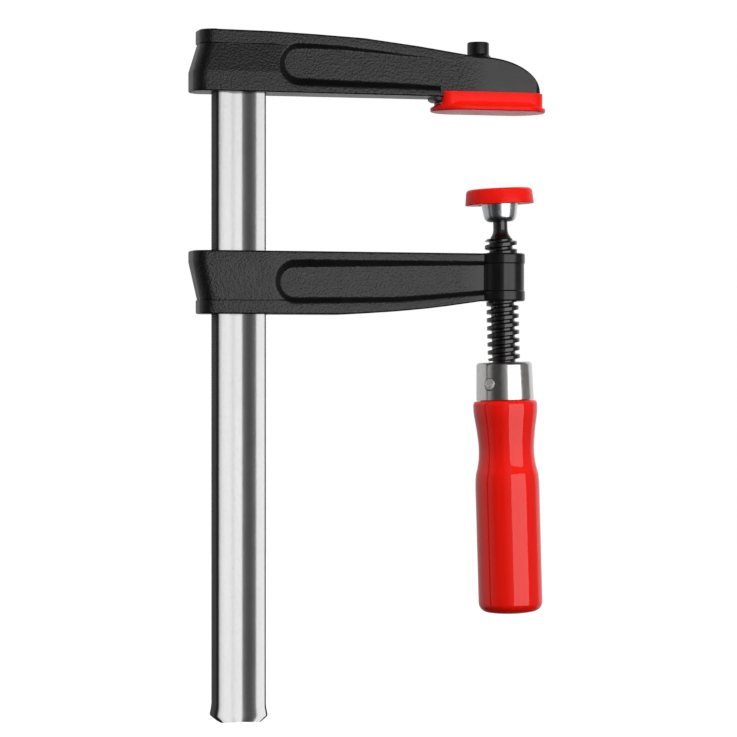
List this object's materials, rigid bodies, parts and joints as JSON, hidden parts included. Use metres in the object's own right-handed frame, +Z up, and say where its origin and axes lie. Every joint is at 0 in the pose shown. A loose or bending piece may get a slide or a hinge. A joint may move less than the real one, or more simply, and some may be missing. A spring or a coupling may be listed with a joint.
{
  "type": "f clamp",
  "caption": "Screw clamp with a fixed jaw on a flat grooved rail, a sliding arm, a threaded spindle with a swivel pad, and a wooden handle.",
  "frame": {"origin": "middle of the flat lower end of the rail", "axes": "+Z up the rail to the fixed jaw, +X from the rail to the spindle, -Y the front of the clamp"},
  "size_m": [0.1787, 0.034, 0.3332],
  "materials": {
    "black_coat": "satin textured black powder coat on malleable cast iron",
    "black_steel": "burnished black steel, oiled",
    "zinc_steel": "drawn steel, zinc plated",
    "bright_steel": "bright nickel plate",
    "cup_steel": "bright zinc plate",
    "pin_steel": "spring steel",
    "seat_steel": "plain turned steel",
    "red_plastic": "red moulded plastic, satin to gloss",
    "red_lacquer": "red lacquer on turned hardwood"
  },
  "bodies": {
    "frame": {"rail": "zinc_steel", "fixed_jaw": "black_coat", "fixed_jaw_cap": "red_plastic"},
    "arm": {"sliding_arm": "black_coat"},
    "seat": {"ball_seat": "seat_steel"},
    "spindle": {"spindle": "black_steel", "handle_ferrule": "bright_steel", "handle_pin": "pin_steel", "handle": "red_lacquer"},
    "retainer": {"ball_retainer": "seat_steel"},
    "pad": {"swivel_cup": "cup_steel", "swivel_cap": "red_plastic"}
  },
  "joints": [
    {"name": "arm_slide", "type": "slide", "parent": "frame", "child": "arm", "axis": [0, 0, 1], "range_m": [-0.188, 0.0025]},
    {"name": "spindle_feed", "type": "slide", "parent": "arm", "child": "seat", "axis": [-0.0284, 0, 0.9996], "range_m": [-0.0128, 0.0292]},
    {"name": "spindle_turn", "type": "hinge", "parent": "seat", "child": "spindle", "pos_m": [0.13225, 0, 0.2485], "axis": [-0.0284, 0, 0.9996], "range_deg": [-1150, 2625]},
    {"name": "pad_tilt_side", "type": "hinge", "parent": "seat", "child": "retainer", "pos_m": [0.13225, 0, 0.2485], "axis": [0, 1, 0], "range_deg": [-8.8, 11.2]},
    {"name": "pad_tilt_front", "type": "hinge", "parent": "retainer", "child": "pad", "pos_m": [0.13225, 0, 0.2485], "axis": [0.9988, 0, 0.0489], "range_deg": [-10, 10]}
  ],
  "couplings": [
    {"joint": "spindle_feed", "follows": "spindle_turn", "m_per_rad": 0.00063662}
  ]
}
